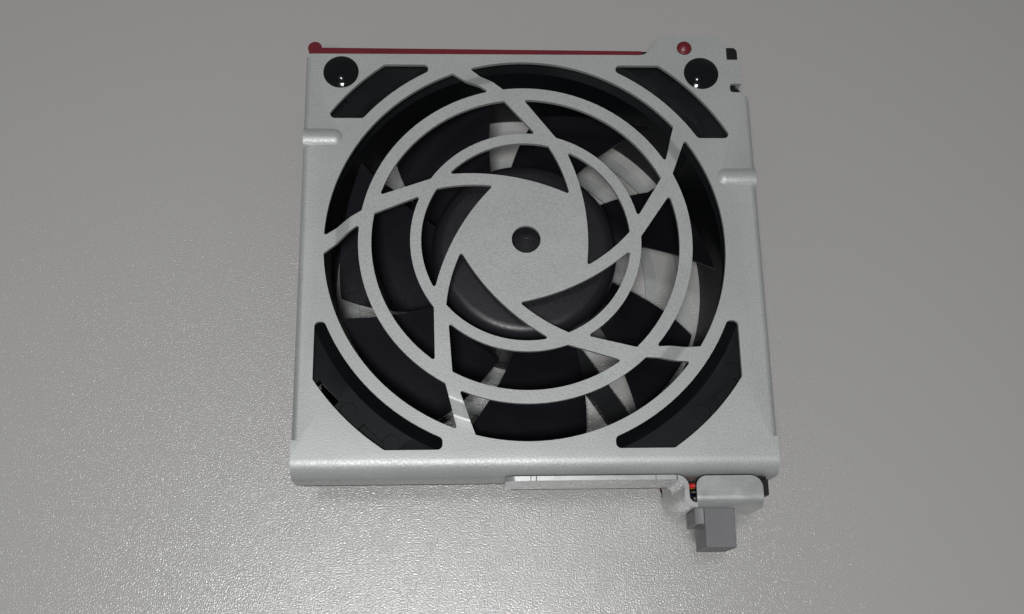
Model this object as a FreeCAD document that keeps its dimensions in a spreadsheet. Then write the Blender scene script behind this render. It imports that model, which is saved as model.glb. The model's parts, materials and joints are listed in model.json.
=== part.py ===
import FreeCAD, Part
import math
import os
import re
import Sketcher

# Server fan module: a 120 mm fan behind a sheet-metal guard with a spiral grille, a lever
# along the top edge and a plug-in connector on a bracket under the lower right corner.
# The module lies on its rear guard: X to the right, Y towards the lever, Z out of the grille.
# The origin is on the fan's axis, on the rear guard's outer face.

Vec = FreeCAD.Vector
UP = Vec(0, 0, 1)
doc = FreeCAD.newDocument("server_fan_module")

SIZES = [
    # stack along Z
    ("rear_thick", 1.0, "rear guard sheet"),
    ("frame_deep", 38.0, "fan frame, standard depth"),
    ("isolator_gap", 1.2, "rubber collar between frame and front guard"),
    ("guard_thick", 1.2, "front guard sheet"),
    # front guard
    ("guard_left", 62.7, "left edge from the axis"),
    ("guard_right", 66.2, "right edge from the axis"),
    ("guard_top", 58.4, "top edge"),
    ("guard_foot", 65.0, "outer face of the bottom wall"),
    ("roll_radius", 5.0, "outer radius of the rolled lower edge"),
    ("foot_drop", 14.5, "depth of the bottom wall"),
    ("side_bend", 1.8, "outer radius of the side bends"),
    ("side_drop", 15.0, "depth of the side walls"),
    ("side_foot", 57.0, "lower end of the side walls"),
    ("opening_radius", 55.9, "air opening"),
    ("grille_rise", 2.25, "grille stands proud of the plate"),
    ("joggle_start", 48.6, "radius where the arms begin to drop"),
    ("joggle_end", 52.6, "radius where the arms meet the plate"),
    ("hub_hole", 4.0, "hole at the axis"),
    ("ring_one_in", 28.95, "inner ring of the grille"),
    ("ring_one_out", 31.95, "inner ring of the grille"),
    ("ring_two_in", 42.6, "outer ring of the grille"),
    ("ring_two_out", 46.2, "outer ring of the grille"),
    ("rim_radius", 59.4, "rim between opening and corner windows"),
    ("window_round", 0.5, "rounding of the spiral windows"),
    ("corner_round", 1.4, "rounding of the corner windows"),
    ("bead_radius", 3.7, "section of the pressed side beads"),
    ("bead_half", 2.5, "half width of the pressed side beads"),
    ("isolator_hole", 2.3, "front guard hole for an isolator"),
    ("ear_hole", 2.2, "lever pivot hole in both guards"),
    ("pivot_x", 48.0, "lever pivot"),
    ("pivot_y", 60.75, "lever pivot"),
    # rear guard
    ("rear_opening", 56.8, "air opening of the rear guard"),
    ("rear_disc", 20.0, "centre disc"),
    ("rear_ring_wide", 3.3, "width of the concentric rings"),
    ("spoke_wide", 4.0, "spokes of the rear guard"),
    # fan frame
    ("frame_side", 119.6, "outside of the square frame"),
    ("frame_corner", 5.0, "corner radius"),
    ("hole_pitch", 105.0, "standard 120 mm fan hole pitch"),
    ("frame_hole", 2.15, "fan hole"),
    ("flange_thick", 4.3, "front and rear flanges"),
    ("duct_radius", 56.6, "air duct"),
    ("duct_wall", 2.6, "duct wall thickness"),
    ("bell_radius", 63.0, "bell mouth where it meets the front face"),
    ("bell_deep", 6.0, "depth of the bell mouth"),
    ("post_radius", 4.4, "corner posts"),
    ("mark_radius", 2.3, "round sinks in the front flange"),
    ("slot_long", 7.9, "slots in the front flange"),
    ("slot_wide", 2.3, "slots in the front flange"),
    ("base_radius", 27.0, "motor base"),
    ("base_thick", 2.6, "motor base"),
    ("strut_wide", 3.4, "three narrow struts"),
    ("strut_deep", 5.0, "depth of all struts"),
    ("lead_strut_wide", 6.4, "strut that carries the leads"),
    ("channel_wide", 3.4, "lead channel"),
    ("channel_deep", 3.4, "lead channel"),
    ("pivot_relief", 4.3, "relief in the frame around the lever boss"),
    # impeller and motor
    ("hub_radius", 26.4, "fan wheel hub"),
    ("hub_face", 36.5, "height of the hub face"),
    ("hub_low", 6.5, "lower edge of the hub"),
    ("hub_skin", 2.0, "thickness of the hub face"),
    ("hub_shoulder", 4.0, "rounding of the hub"),
    ("blade_tip", 54.6, "blade tip radius"),
    ("blade_thick", 1.7, "blade thickness"),
    ("yoke_radius", 25.0, "steel cup"),
    ("yoke_thick", 1.0, "steel cup"),
    ("yoke_low", 7.0, "lower edge of the cup"),
    ("magnet_thick", 1.6, "ring magnet"),
    ("magnet_low", 9.5, "lower edge of the magnet"),
    ("magnet_long", 20.0, "ring magnet"),
    ("shaft_radius", 2.0, "shaft"),
    ("shaft_low", 5.0, "lower end of the shaft"),
    ("bush_radius", 5.0, "brass bush in the steel cup"),
    ("bush_long", 2.6, "brass bush in the steel cup"),
    ("bearing_radius", 5.0, "outside of a bearing"),
    ("bearing_long", 4.0, "length of a bearing"),
    ("race_in", 3.1, "outside of the inner ring"),
    ("race_out", 4.1, "inside of the outer ring"),
    ("ball_radius", 0.8, "bearing ball"),
    ("groove_radius", 0.85, "ball groove"),
    ("rear_bearing", 7.4, "height of the rear bearing"),
    ("front_bearing", 24.6, "height of the front bearing"),
    ("tube_wall", 1.4, "bearing tube"),
    ("tube_low", 1.4, "lower end of the bearing tube"),
    ("tube_top", 29.4, "upper end of the bearing tube"),
    ("shoulder_bore", 4.2, "shoulder between the bearings"),
    ("spring_gap", 0.7, "room for the preload spring"),
    ("spring_thick", 0.2, "preload spring sheet"),
    ("core_radius", 21.6, "stator core"),
    ("core_low", 13.0, "stator core"),
    ("core_long", 11.0, "stator core"),
    ("core_neck", 6.0, "width of a pole"),
    ("shoe_thick", 2.6, "pole shoe"),
    ("slot_gap", 3.0, "gap between pole shoes"),
    ("core_hub", 9.5, "stator core hub"),
    ("insulator_thick", 1.2, "winding insulators"),
    ("coil_thick", 2.2, "winding build around a pole"),
    ("board_radius", 21.5, "circuit board"),
    ("board_low", 4.9, "height of the circuit board"),
    ("board_thick", 1.2, "circuit board"),
    # isolators and screws
    ("isolator_head", 5.1, "domed head"),
    ("isolator_rise", 1.5, "height of the dome"),
    ("isolator_collar", 3.8, "collar between guard and frame"),
    ("isolator_stem", 2.05, "stem in the frame"),
    ("isolator_long", 9.0, "stem length in the frame"),
    ("screw_head", 3.9, "countersunk rear screw head"),
    ("screw_head_deep", 1.9, "countersunk rear screw head"),
    ("screw_long", 12.0, "rear screw"),
    # lever
    ("lever_left", 60.5, "centre of the lever's bead from the axis"),
    ("lever_bead", 2.05, "bead radius"),
    ("bead_height", 61.2, "height of the bead's centre"),
    ("lever_low", 3.0, "rear edge of the lever"),
    ("lever_front", 39.7, "front edge of the lever"),
    ("lever_foot", 60.0, "underside of the lever"),
    ("lever_thick_left", 1.35, "lever at the bead"),
    ("lever_thick_right", 0.65, "lever near the pivot"),
    ("lever_boss", 3.7, "boss around the pivot"),
    ("lip_end", 35.6, "right end of the lever's front lip"),
    ("lip_foot", 57.2, "lower edge of the front lip"),
    ("lip_thick", 0.9, "front lip"),
    ("pivot_pin", 2.13, "moulded pivot pins"),
    ("pivot_proud", 0.5, "front pin stands proud of the ear"),
    # side rail and pads
    ("rail_right", 62.7, "outer face of the side rail"),
    ("rail_lobe", 64.3, "outer face of the rail's two lobes"),
    ("rail_top", 62.4, "upper end of the side rail"),
    ("rail_corner", 0.9, "cut corners of the rail's lobes"),
    ("rail_foot", 62.4, "lower end of the side rail"),
    ("rail_low", 4.0, "rear edge of the side rail"),
    ("pad_place", 42.0, "bottom pads from the axis"),
    ("pad_long", 14.0, "bottom pads"),
    ("pad_deep", 9.0, "bottom pads"),
    # connector bracket
    ("bracket_thick", 1.2, "bracket sheet"),
    ("shelf_left", -6.5, "left end of the upper shelf"),
    ("riser_x", 41.6, "right face of the riser"),
    ("shelf_drop", 73.5, "underside of the lower shelf"),
    ("shelf_right", 61.4, "right end of the lower shelf"),
    ("shelf_front", 41.0, "front edge of the upper shelf"),
    ("shelf_corner", 2.8, "rounded front corner at the shelf's left end"),
    ("shelf_back", 23.6, "rear edge of the upper shelf"),
    ("riser_back", 4.3, "rear edge of the riser"),
    ("riser_top", 61.0, "upper end of the riser's rear part"),
    ("riser_step", 2.0, "step in the riser's rear edge that clears the leads"),
    ("tray_back", 22.0, "rear edge of the lower shelf"),
    ("tab_left", 43.6, "front flange"),
    ("tab_right", 61.2, "front flange"),
    ("tab_top", 65.3, "front flange"),
    ("tab_front", 41.0, "front flange face"),
    ("tab_corner", 2.8, "left front flange corner"),
    ("tab_corner_right", 3.3, "right front flange corner"),
    # connector
    ("plug_left", 46.1, "connector housing"),
    ("plug_right", 54.2, "connector housing"),
    ("plug_foot", 83.6, "mating face"),
    ("plug_top", 67.2, "wire side"),
    ("plug_back", 22.5, "rear face of the housing"),
    ("plug_front", 36.4, "front face of the housing"),
    ("key_left", 43.6, "keying ear"),
    ("key_foot", 77.5, "keying ear"),
    ("key_back", 23.6, "keying ear"),
    ("key_front", 36.0, "keying ear"),
    ("cavity_side", 2.3, "contact cavity"),
    ("cavity_deep", 9.0, "contact cavity"),
    ("contact_thick", 0.64, "contact blade"),
    ("contact_wide", 1.4, "contact blade"),
    ("carrier_left", 45.0, "connector carrier"),
    ("carrier_right", 63.0, "connector carrier"),
    ("carrier_low_right", 60.8, "foot of the carrier, beside the flange"),
    ("carrier_step", 70.4, "underside of the carrier's shoulder"),
    ("wire_radius", 0.7, "lead wires"),
]

sheet = doc.addObject("Spreadsheet::Sheet", "sizes")
for line, (alias, number, note) in enumerate(SIZES, 1):
    sheet.set(f"A{line}", note)
    sheet.set(f"B{line}", str(number))
    sheet.setAlias(f"B{line}", alias)
doc.recompute()

FRAME_BACK = "rear_thick"
FRAME_FRONT = "rear_thick + frame_deep"
GUARD_BACK = FRAME_FRONT + " + isolator_gap"
GUARD_FRONT = GUARD_BACK + " + guard_thick"
BLADES = 7
ARMS = 5
BALLS = 8
POLES = 4
RINGS = (30.4, 41.2, 51.7)
STRUT_ANGLES = (34, 144, 234)
LEAD_ANGLE = -56
CORNERS = [(sx, sy) for sx in (-1, 1) for sy in (-1, 1)]

parts = {}


# ---------------------------------------------------------------- helpers

def formula(words):
    """Expression on the sheet, from cell names and plain arithmetic."""
    return re.sub(r"[a-z]\w+", lambda found: "sizes." + found.group(), words)


def size(words):
    """Value of a formula in millimetres."""
    return float(sheet.evalExpression(formula(words)))


def bind(item, name, words):
    item.setExpression(name, formula(words))


def move(item, x="0", y="0", z="0"):
    bind(item, "Placement.Base.x", x)
    bind(item, "Placement.Base.y", y)
    bind(item, "Placement.Base.z", z)
    return item


def cylinder(radius, height, z="0", x="0", y="0"):
    item = doc.addObject("Part::Cylinder", "cylinder")
    bind(item, "Radius", radius)
    bind(item, "Height", height)
    return move(item, x, y, z)


def block(length, width, height, x, y, z):
    item = doc.addObject("Part::Box", "block")
    bind(item, "Length", length)
    bind(item, "Width", width)
    bind(item, "Height", height)
    return move(item, x, y, z)


def cut(base, *tools):
    for tool in tools:
        item = doc.addObject("Part::Cut", "cut")
        item.Base = base
        item.Tool = tool
        base = item
    return base


def fuse(*shapes):
    item = doc.addObject("Part::MultiFuse", "fuse")
    item.Shapes = list(shapes)
    item.Refine = True
    return item


def compound(*shapes):
    item = doc.addObject("Part::Compound", "group")
    item.Links = list(shapes)
    return item


def tube(outer, inner, height, z="0"):
    return cut(cylinder(outer, height, z), cylinder(inner, height, z))


def keep(label, item):
    """Register a finished sub-part under its node name."""
    item.Label = label
    parts[label] = item
    return item


def feature(label, shape):
    """Sub-part whose shape is made with Part's own functions."""
    item = doc.addObject("Part::Feature", label)
    item.Shape = shape
    item.Placement = FreeCAD.Placement()
    return keep(label, item)


def new_body(label):
    return keep(label, doc.addObject("PartDesign::Body", label))


def new_sketch(body, role="XY_Plane", offset="0"):
    sketch = body.newObject("Sketcher::SketchObject", "sketch")
    plane = next(item for item in body.Origin.OriginFeatures if item.Role == role)
    sketch.AttachmentSupport = (plane, [""])
    sketch.MapMode = "FlatFace"
    bind(sketch, "AttachmentOffset.Base.z", offset)
    return sketch


def hold(sketch, kind, geometry, words):
    """Add a dimension to a sketch and bind it to the sheet."""
    index = sketch.addConstraint(Sketcher.Constraint(kind, *geometry, size(words)))
    bind(sketch, f"Constraints[{index}]", words)


def add_circle(sketch, radius, x="0", y="0"):
    circle = Part.Circle(Vec(size(x), size(y), 0), UP, size(radius))
    index = sketch.addGeometry(circle, False)
    hold(sketch, "Radius", (index,), radius)
    hold(sketch, "DistanceX", (-1, 1, index, 3), x)
    hold(sketch, "DistanceY", (-1, 1, index, 3), y)


def add_outline(sketch, corners):
    """Closed outline through corners given as pairs of formulas."""
    points = [Vec(size(x), size(y), 0) for x, y in corners]
    lines = []
    for start, end in zip(points, points[1:] + points[:1]):
        lines.append(sketch.addGeometry(Part.LineSegment(start, end), False))
    for line, following in zip(lines, lines[1:] + lines[:1]):
        sketch.addConstraint(Sketcher.Constraint("Coincident", line, 2, following, 1))
    for line, (x, y) in zip(lines, corners):
        hold(sketch, "DistanceX", (-1, 1, line, 1), x)
        hold(sketch, "DistanceY", (-1, 1, line, 1), y)


def add_rectangle(sketch, low_x, high_x, low_y, high_y):
    add_outline(sketch, [(low_x, low_y), (high_x, low_y), (high_x, high_y), (low_x, high_y)])


def pad(body, sketch, length):
    item = body.newObject("PartDesign::Pad", "pad")
    item.Profile = sketch
    bind(item, "Length", length)
    return item


def pocket(body, sketch, length, backwards=False):
    doc.recompute()
    before = body.Shape.Volume
    item = body.newObject("PartDesign::Pocket", "pocket")
    item.Profile = sketch
    item.Reversed = backwards
    bind(item, "Length", length)
    doc.recompute()
    if body.Shape.Volume > before - 0.01:
        raise RuntimeError(f"a pocket of {body.Label} cuts nothing")
    return item


def revolve(body, sketch):
    item = body.newObject("PartDesign::Revolution", "revolution")
    item.Profile = sketch
    item.ReferenceAxis = (sketch, ["V_Axis"])
    item.Angle = 360
    return item


def polar(radius, degrees, z=0.0):
    turn = math.radians(degrees)
    return Vec(radius * math.cos(turn), radius * math.sin(turn), z)


def rounded_wire(corners):
    """Closed wire in XY through corners (x, y, radius), each with its own rounding."""
    edges = []
    ends = []
    count = len(corners)
    for index in range(count):
        x, y, radius = corners[index]
        here = Vec(x, y, 0)
        before = Vec(*corners[index - 1][:2], 0) - here
        after = Vec(*corners[(index + 1) % count][:2], 0) - here
        before.normalize()
        after.normalize()
        if radius == 0:
            ends.append((here, None, here))
            continue
        half = before.getAngle(after) / 2
        run = radius / math.tan(half)
        inward = (before + after).normalize()
        middle = here + inward * (radius / math.sin(half) - radius)
        ends.append((here + before * run, middle, here + after * run))
    for (start, middle, end), following in zip(ends, ends[1:] + ends[:1]):
        if middle is not None:
            edges.append(Part.Arc(start, middle, end).toShape())
        if (following[0] - end).Length > 1e-6:
            edges.append(Part.LineSegment(end, following[0]).toShape())
    return Part.Wire(edges)


def prism(wire, low, high):
    """Upright solid between two heights, from a wire in XY."""
    solid = Part.Face(wire).extrude(UP * (high - low))
    solid.translate(UP * low)
    return solid


def along_y(corners, low, high):
    """Solid along Y, from a section of (x, z, radius) corners."""
    section = Part.Face(rounded_wire(corners))
    section.rotate(Vec(0, 0, 0), Vec(1, 0, 0), 90)
    section.translate(Vec(0, high, 0))
    return section.extrude(Vec(0, low - high, 0))


def along_x(corners, low, high):
    """Solid along X, from a section of (y, z, radius) corners."""
    section = Part.Face(rounded_wire(corners))
    section.Placement = FreeCAD.Placement(
        Vec(low, 0, 0), FreeCAD.Rotation(Vec(0, 1, 0), Vec(0, 0, 1), Vec(1, 0, 0), "XYZ"))
    return section.extrude(Vec(high - low, 0, 0))


def soften(face, radius):
    """Round every outward corner of a flat face."""
    return face.makeOffset2D(-radius).makeOffset2D(radius)


def disc(radius, low, high, x=0.0, y=0.0):
    return Part.makeCylinder(radius, high - low, Vec(x, y, low))


# ---------------------------------------------------------------- front guard

def spiral_window(inner, outer, inner_span, outer_span):
    """Window between two rings, closed at both ends by the straight sides of two arms."""
    corners = [polar(inner, inner_span[0]), polar(inner, inner_span[1]),
               polar(outer, outer_span[1]), polar(outer, outer_span[0])]
    edges = [
        Part.Arc(corners[0], polar(inner, sum(inner_span) / 2), corners[1]).toShape(),
        Part.LineSegment(corners[1], corners[2]).toShape(),
        Part.Arc(corners[2], polar(outer, sum(outer_span) / 2), corners[3]).toShape(),
        Part.LineSegment(corners[3], corners[0]).toShape(),
    ]
    return Part.Face(Part.Wire(edges))


def disc_window(ring):
    """Horn-shaped window between the centre disc and the inner ring."""
    tip = polar(18.3, 119.0)
    near = polar(ring, 148.4)
    far = polar(ring, 209.8)
    edges = [
        Part.Arc(tip, polar(23.4, 136.0), near).toShape(),
        Part.Arc(near, polar(ring, 179.0), far).toShape(),
        Part.Arc(far, polar(18.9, 172.0), tip).toShape(),
    ]
    return Part.Face(Part.Wire(edges))


def corner_windows(rim):
    """Four corner windows outside the rim, each between two arcs and its own limits."""
    limits = [
        (68.0, -60.0, -10.0, 37.8, 55.0),
        (68.0, 10.0, 62.0, 31.7, 55.0),
        (69.4, -57.6, -23.0, -57.9, -22.7),
        (69.5, 22.8, 57.8, -57.9, -22.9),
    ]
    middle = Part.Face(Part.Wire(Part.Circle(Vec(0, 0, 0), UP, rim).toShape()))
    faces = []
    for reach, left, right, low, high in limits:
        round_face = Part.Face(Part.Wire(Part.Circle(Vec(0, 0, 0), UP, reach).toShape()))
        limit = Part.makePlane(right - left, high - low, Vec(left, low, 0))
        faces.append(round_face.common(limit).cut(middle).Faces[0])
    return faces


def guard_windows(low, high):
    """All windows of the grille: three kinds repeated for each arm, and four in the corners."""
    kinds = [
        disc_window(size("ring_one_in")),
        spiral_window(size("ring_one_out"), size("ring_two_in"), (83.9, 145.5), (97.4, 162.0)),
        spiral_window(size("ring_two_out"), size("opening_radius"), (-41.8, 25.2), (-32.8, 34.0)),
    ]
    windows = []
    for face in [soften(kind, size("window_round")) for kind in kinds]:
        for arm in range(ARMS):
            turned = face.copy()
            turned.rotate(Vec(0, 0, 0), UP, arm * 360 / ARMS)
            windows.append(turned)
    windows += [soften(face, size("corner_round")) for face in corner_windows(size("rim_radius"))]
    for window in windows:
        window.translate(UP * low)
    return [window.extrude(UP * (high - low)) for window in windows]


def guard_outline():
    """Flat outline of the front guard with its ear, the small tab and two relief notches."""
    left = -size("guard_left")
    right = size("guard_right")
    top = size("guard_top")
    foot = -size("guard_foot")
    return rounded_wire([
        (left, top, 1.8), (36.2, top, 4.0), (42.0, 64.9, 4.5), (60.4, 64.9, 4.5),
        (60.4, 57.0, 0.2), (64.2, 57.0, 0.4), (64.2, 49.2, 0.2), (60.7, 49.2, 0.9),
        (60.7, 46.4, 0.9), (right, 46.4, 3.2), (right, foot, 0), (left, foot, 0),
    ])


def bent_wall(edge, inward, drop, bend, front, thick):
    """Section of a wall bent down from the plate; edge is the wall's outer face."""
    low = front - drop
    inner = edge + inward * thick
    reach = edge + inward * (bend + 0.5)
    return [(edge, low, 0), (edge, front, bend), (reach, front, 0),
            (reach, front - thick, 0), (inner, front - thick, bend - thick), (inner, low, 0)]


def side_bead(start, end, y):
    """Pressed bead that stiffens a side bend, half round and closed at its inner end."""
    radius = size("bead_radius")
    half = size("bead_half")
    back = size(GUARD_BACK)
    centre = size(GUARD_FRONT) - math.sqrt(radius ** 2 - half ** 2)
    low_x, high_x = sorted((start, end))
    rod = Part.makeCylinder(radius, high_x - low_x, Vec(low_x, y, centre), Vec(1, 0, 0))
    rod = rod.fuse(Part.makeSphere(radius, Vec(start, y, centre)))
    return rod.common(Part.makeBox(40, 10, 10, Vec(min(start, end) - 5, y - 5, back)))


def make_front_guard():
    back = size(GUARD_BACK)
    front = size(GUARD_FRONT)
    thick = size("guard_thick")
    left = -size("guard_left")
    right = size("guard_right")
    foot = -size("guard_foot")
    roll = size("roll_radius")
    bend = size("side_bend")
    rise = size("grille_rise")
    side_foot = -size("side_foot")
    flat = Part.makeBox(right - left - 2 * bend, 66.0 - foot - roll, thick,
                        Vec(left + bend, foot + roll, back))
    flat = flat.cut(disc(54.0, back, front))
    walls = [
        along_y(bent_wall(left, 1, size("side_drop"), bend, front, thick), side_foot, 57.0),
        along_y(bent_wall(right, -1, size("side_drop"), bend, front, thick), side_foot, 46.4),
        along_y(bent_wall(64.2, -1, 9.0, bend, front, thick), 49.2, 57.0),
        along_x(bent_wall(foot, 1, size("foot_drop"), roll, front, thick), left, right),
        Part.makeBox(bend + 0.1, 5.0, thick, Vec(left, foot + roll, back)),
        Part.makeBox(bend + 0.1, 5.0, thick, Vec(right - bend - 0.1, foot + roll, back)),
        Part.makeBox(bend + 0.1, 3.0, thick, Vec(left, 57.0, back)),
    ]
    inner, outer = size("joggle_start"), size("joggle_end")
    dish = Part.Face(rounded_wire([
        (0, front + rise - thick, 0), (inner, front + rise - thick, 1.6),
        (outer - 0.4, back, 1.6), (57.0, back, 0), (57.0, front, 0), (outer, front, 1.6),
        (inner + 0.4, front + rise, 1.6), (0, front + rise, 0),
    ]))
    dish.rotate(Vec(0, 0, 0), Vec(1, 0, 0), 90)
    blank = flat.fuse(walls + [dish.revolve(Vec(0, 0, 0), UP, 360)])
    blank = blank.common(prism(guard_outline(), 0, front + rise + 1))
    blank = blank.fuse([side_bead(-54.0, left + 0.1, 32.0), side_bead(57.5, right - 0.1, 19.75)])
    tools = guard_windows(back - 1, front + rise + 1)
    tools.append(disc(size("hub_hole"), back - 1, front + rise + 1))
    tools.append(disc(size("ear_hole"), back - 1, front + 1, size("pivot_x"), size("pivot_y")))
    half = size("hole_pitch / 2")
    for side in (-1, 1):
        tools.append(disc(size("isolator_hole"), back - 1, front + 1, side * half, half))
    low = front - size("foot_drop")
    for edge, radius in ((left, 1.3), (right, 3.0)):
        inward = 1 if edge < 0 else -1
        square = Part.makeBox(radius, 3, radius, Vec(min(edge, edge + inward * radius), foot - 1, low))
        rounding = Part.makeCylinder(radius, 3, Vec(edge + inward * radius, foot - 1, low + radius),
                                     Vec(0, 1, 0))
        tools.append(square.cut(rounding))
    for place in (5.0, 30.0):
        tools.append(Part.makeCylinder(1.6, 4, Vec(place, foot - 1, 31.0), Vec(0, 1, 0)))
    return feature("front_guard", blank.cut(tools).removeSplitter())


# ---------------------------------------------------------------- rear guard

def make_rear_guard():
    """Flat guard with a centre disc, concentric rings and spokes behind the fan's struts."""
    body = doc.addObject("PartDesign::Body", "rear_plate")
    outline = new_sketch(body)
    half = "frame_side / 2"
    add_rectangle(outline, f"0 - {half}", half, f"0 - {half}", half)
    add_circle(outline, "rear_opening")
    pad(body, outline, "rear_thick")
    pieces = [body, cylinder("rear_disc", "rear_thick")]
    for radius in RINGS:
        pieces.append(tube(f"{radius} + rear_ring_wide / 2", f"{radius} - rear_ring_wide / 2",
                           "rear_thick"))
    for angle in STRUT_ANGLES + (LEAD_ANGLE,):
        spoke = doc.addObject("Part::Box", "spoke")
        bind(spoke, "Length", "rear_opening + 1.5")
        bind(spoke, "Width", "spoke_wide")
        bind(spoke, "Height", "rear_thick")
        turn = FreeCAD.Rotation(UP, angle)
        spoke.Placement = FreeCAD.Placement(turn.multVec(Vec(0, -size("spoke_wide") / 2, 0)), turn)
        pieces.append(spoke)
    pieces.append(cylinder("4.4", "rear_thick", "0", "pivot_x", "pivot_y"))
    pieces.append(block("8.8", "5", "rear_thick", "pivot_x - 4.4", "pivot_y - 5", "0"))
    holes = [cylinder("ear_hole", "rear_thick", "0", "pivot_x", "pivot_y")]
    for sx, sy in CORNERS:
        holes.append(screw_sink("screw_head", sx, sy))
    keep("rear_guard", cut(fuse(*pieces), *holes))


def screw_sink(head, sx, sy):
    """Countersink for a rear screw, shared by the rear guard and the frame."""
    cone = doc.addObject("Part::Cone", "sink")
    bind(cone, "Radius1", head)
    bind(cone, "Radius2", "frame_hole")
    bind(cone, "Height", "screw_head_deep")
    return move(cone, f"{sx} * hole_pitch / 2", f"{sy} * hole_pitch / 2", "0")


# ---------------------------------------------------------------- fan frame

def strut_box(angle, wide, low, high, reach):
    strut = Part.makeBox(reach, wide, high - low, Vec(0, -wide / 2, low))
    strut.rotate(Vec(0, 0, 0), UP, angle)
    return strut


def flange_slot(corner_angle, turn, deep, high):
    """Tool for a slot beside a corner of the front flange."""
    slot = Part.makeBox(size("slot_wide"), size("slot_long"), deep + 1,
                        Vec(66.75, -size("slot_long") / 2, high - deep))
    slot.rotate(Vec(0, 0, 0), UP, corner_angle)
    slot.translate(polar(8.5, corner_angle + turn))
    return slot


def square(side, corner, low, high):
    half = side / 2
    spots = ((-half, -half), (half, -half), (half, half), (-half, half))
    return prism(rounded_wire([(x, y, corner) for x, y in spots]), low, high)


def make_fan_frame():
    low = size(FRAME_BACK)
    high = size(FRAME_FRONT)
    side = size("frame_side")
    corner = size("frame_corner")
    flange = size("flange_thick")
    duct = size("duct_radius")
    half = size("hole_pitch / 2")
    outer = square(side, corner, low, high)
    shell = disc(duct + size("duct_wall"), low, high).common(outer)
    shell = shell.fuse([square(side, corner, low, low + flange),
                        square(side, corner, high - flange, high)])
    posts = [disc(size("post_radius"), low, high, sx * half, sy * half) for sx, sy in CORNERS]
    shell = shell.fuse(posts)
    bell = Part.makeCone(duct - 0.4, size("bell_radius"), size("bell_deep") + 0.4,
                         Vec(0, 0, high - size("bell_deep")))
    bell = bell.common(square(side - 1.6, corner, low, high + 1))
    shell = shell.cut([disc(duct, low - 1, high + 1), bell])
    strut_top = low + size("strut_deep")
    ribs = [strut_box(angle, size("strut_wide"), low, strut_top, duct + 1) for angle in STRUT_ANGLES]
    ribs.append(strut_box(LEAD_ANGLE, size("lead_strut_wide"), low, strut_top, duct + 1))
    base_top = low + size("base_thick")
    base = disc(size("base_radius"), low, base_top)
    rim = disc(size("base_radius"), low, strut_top).cut(disc(size("base_radius") - 1.5, low, strut_top))
    hollow = disc(size("base_radius") - 1.5, base_top, strut_top + 1)
    shell = shell.fuse([rib.cut(hollow) for rib in ribs] + [base, rim])
    channel = strut_box(LEAD_ANGLE, size("channel_wide"), low - 1, low + size("channel_deep"), 80)
    tools = [
        channel.cut(disc(21.0, 0, strut_top)),
        disc(size("bearing_radius + tube_wall"), size("tube_low"), strut_top),
        disc(size("pivot_relief"), low - 1, high + 1, size("pivot_x"), size("pivot_y")),
    ]
    for sx, sy in CORNERS:
        tools.append(disc(size("frame_hole"), low - 1, high + 1, sx * half, sy * half))
        tools.append(Part.makeCone(size("screw_head"), size("frame_hole"), size("screw_head_deep"),
                                   Vec(sx * half, sy * half, 0)))
        corner_angle = math.degrees(math.atan2(sy, sx))
        for radius, turn in ((67.1, -0.7), (66.6, 11.7)):
            spot = polar(radius, corner_angle + turn)
            tools.append(disc(size("mark_radius"), high - 0.5, high + 1, spot.x, spot.y))
        tools.append(flange_slot(corner_angle, 90, 1.2, high))
    tools.append(flange_slot(-135, -90, flange + 0.5, high))
    shell = shell.cut(tools)
    stop = Part.makeBox(3.4, 1.2, 1.9, Vec(size("lip_end") + 0.2, side / 2 - 0.1, high - 2.0))
    return feature("fan_frame", shell.fuse(stop).removeSplitter())


# ---------------------------------------------------------------- impeller and motor

def blade_section(radius, lead_angle, trail_angle, lead_z, trail_z, nose, tail):
    """Flat closed blade section at one radius, with a rounded nose and a thin tail."""
    middle = math.radians((lead_angle + trail_angle) / 2)
    outward = Vec(math.cos(middle), math.sin(middle), 0)
    sideways = Vec(-math.sin(middle), math.cos(middle), 0)
    span = radius * math.radians(trail_angle - lead_angle) / 2
    camber = 0.09
    upper = []
    lower = []
    for step in range(9):
        share = step / 8
        along = -span + 2 * span * share
        height = lead_z + (trail_z - lead_z) * (share + camber * math.sin(math.pi * share))
        build = (nose * math.sqrt(share) * (1 - share) * 1.6 + tail * share) / 2
        if step in (0, 8):
            build = tail / 2 if step else nose / 6
        centre = outward * radius + sideways * along
        upper.append(centre + UP * (height + build * 1.3))
        lower.append(centre + UP * (height - build * 1.3))
    top = Part.BSplineCurve()
    top.interpolate(upper)
    bottom = Part.BSplineCurve()
    bottom.interpolate(lower[::-1])
    edges = [top.toShape(), Part.LineSegment(upper[-1], lower[-1]).toShape(),
             bottom.toShape(), Part.LineSegment(lower[0], upper[0]).toShape()]
    return Part.Wire(edges)


def make_blade():
    """One swept blade between hub and tip; its leading edge is nearer the grille."""
    thick = size("blade_thick")
    stations = [(24.8, 212.0, 256.0, 30.8, 9.6), (34.0, 207.5, 249.0, 31.4, 9.2),
                (44.0, 203.0, 243.0, 31.8, 8.8), (57.5, 197.6, 234.5, 32.2, 8.4)]
    wires = [blade_section(r, lead, trail, z1, z2, thick, thick * 0.55)
             for r, lead, trail, z1, z2 in stations]
    return Part.makeLoft(wires, True, False)


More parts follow.
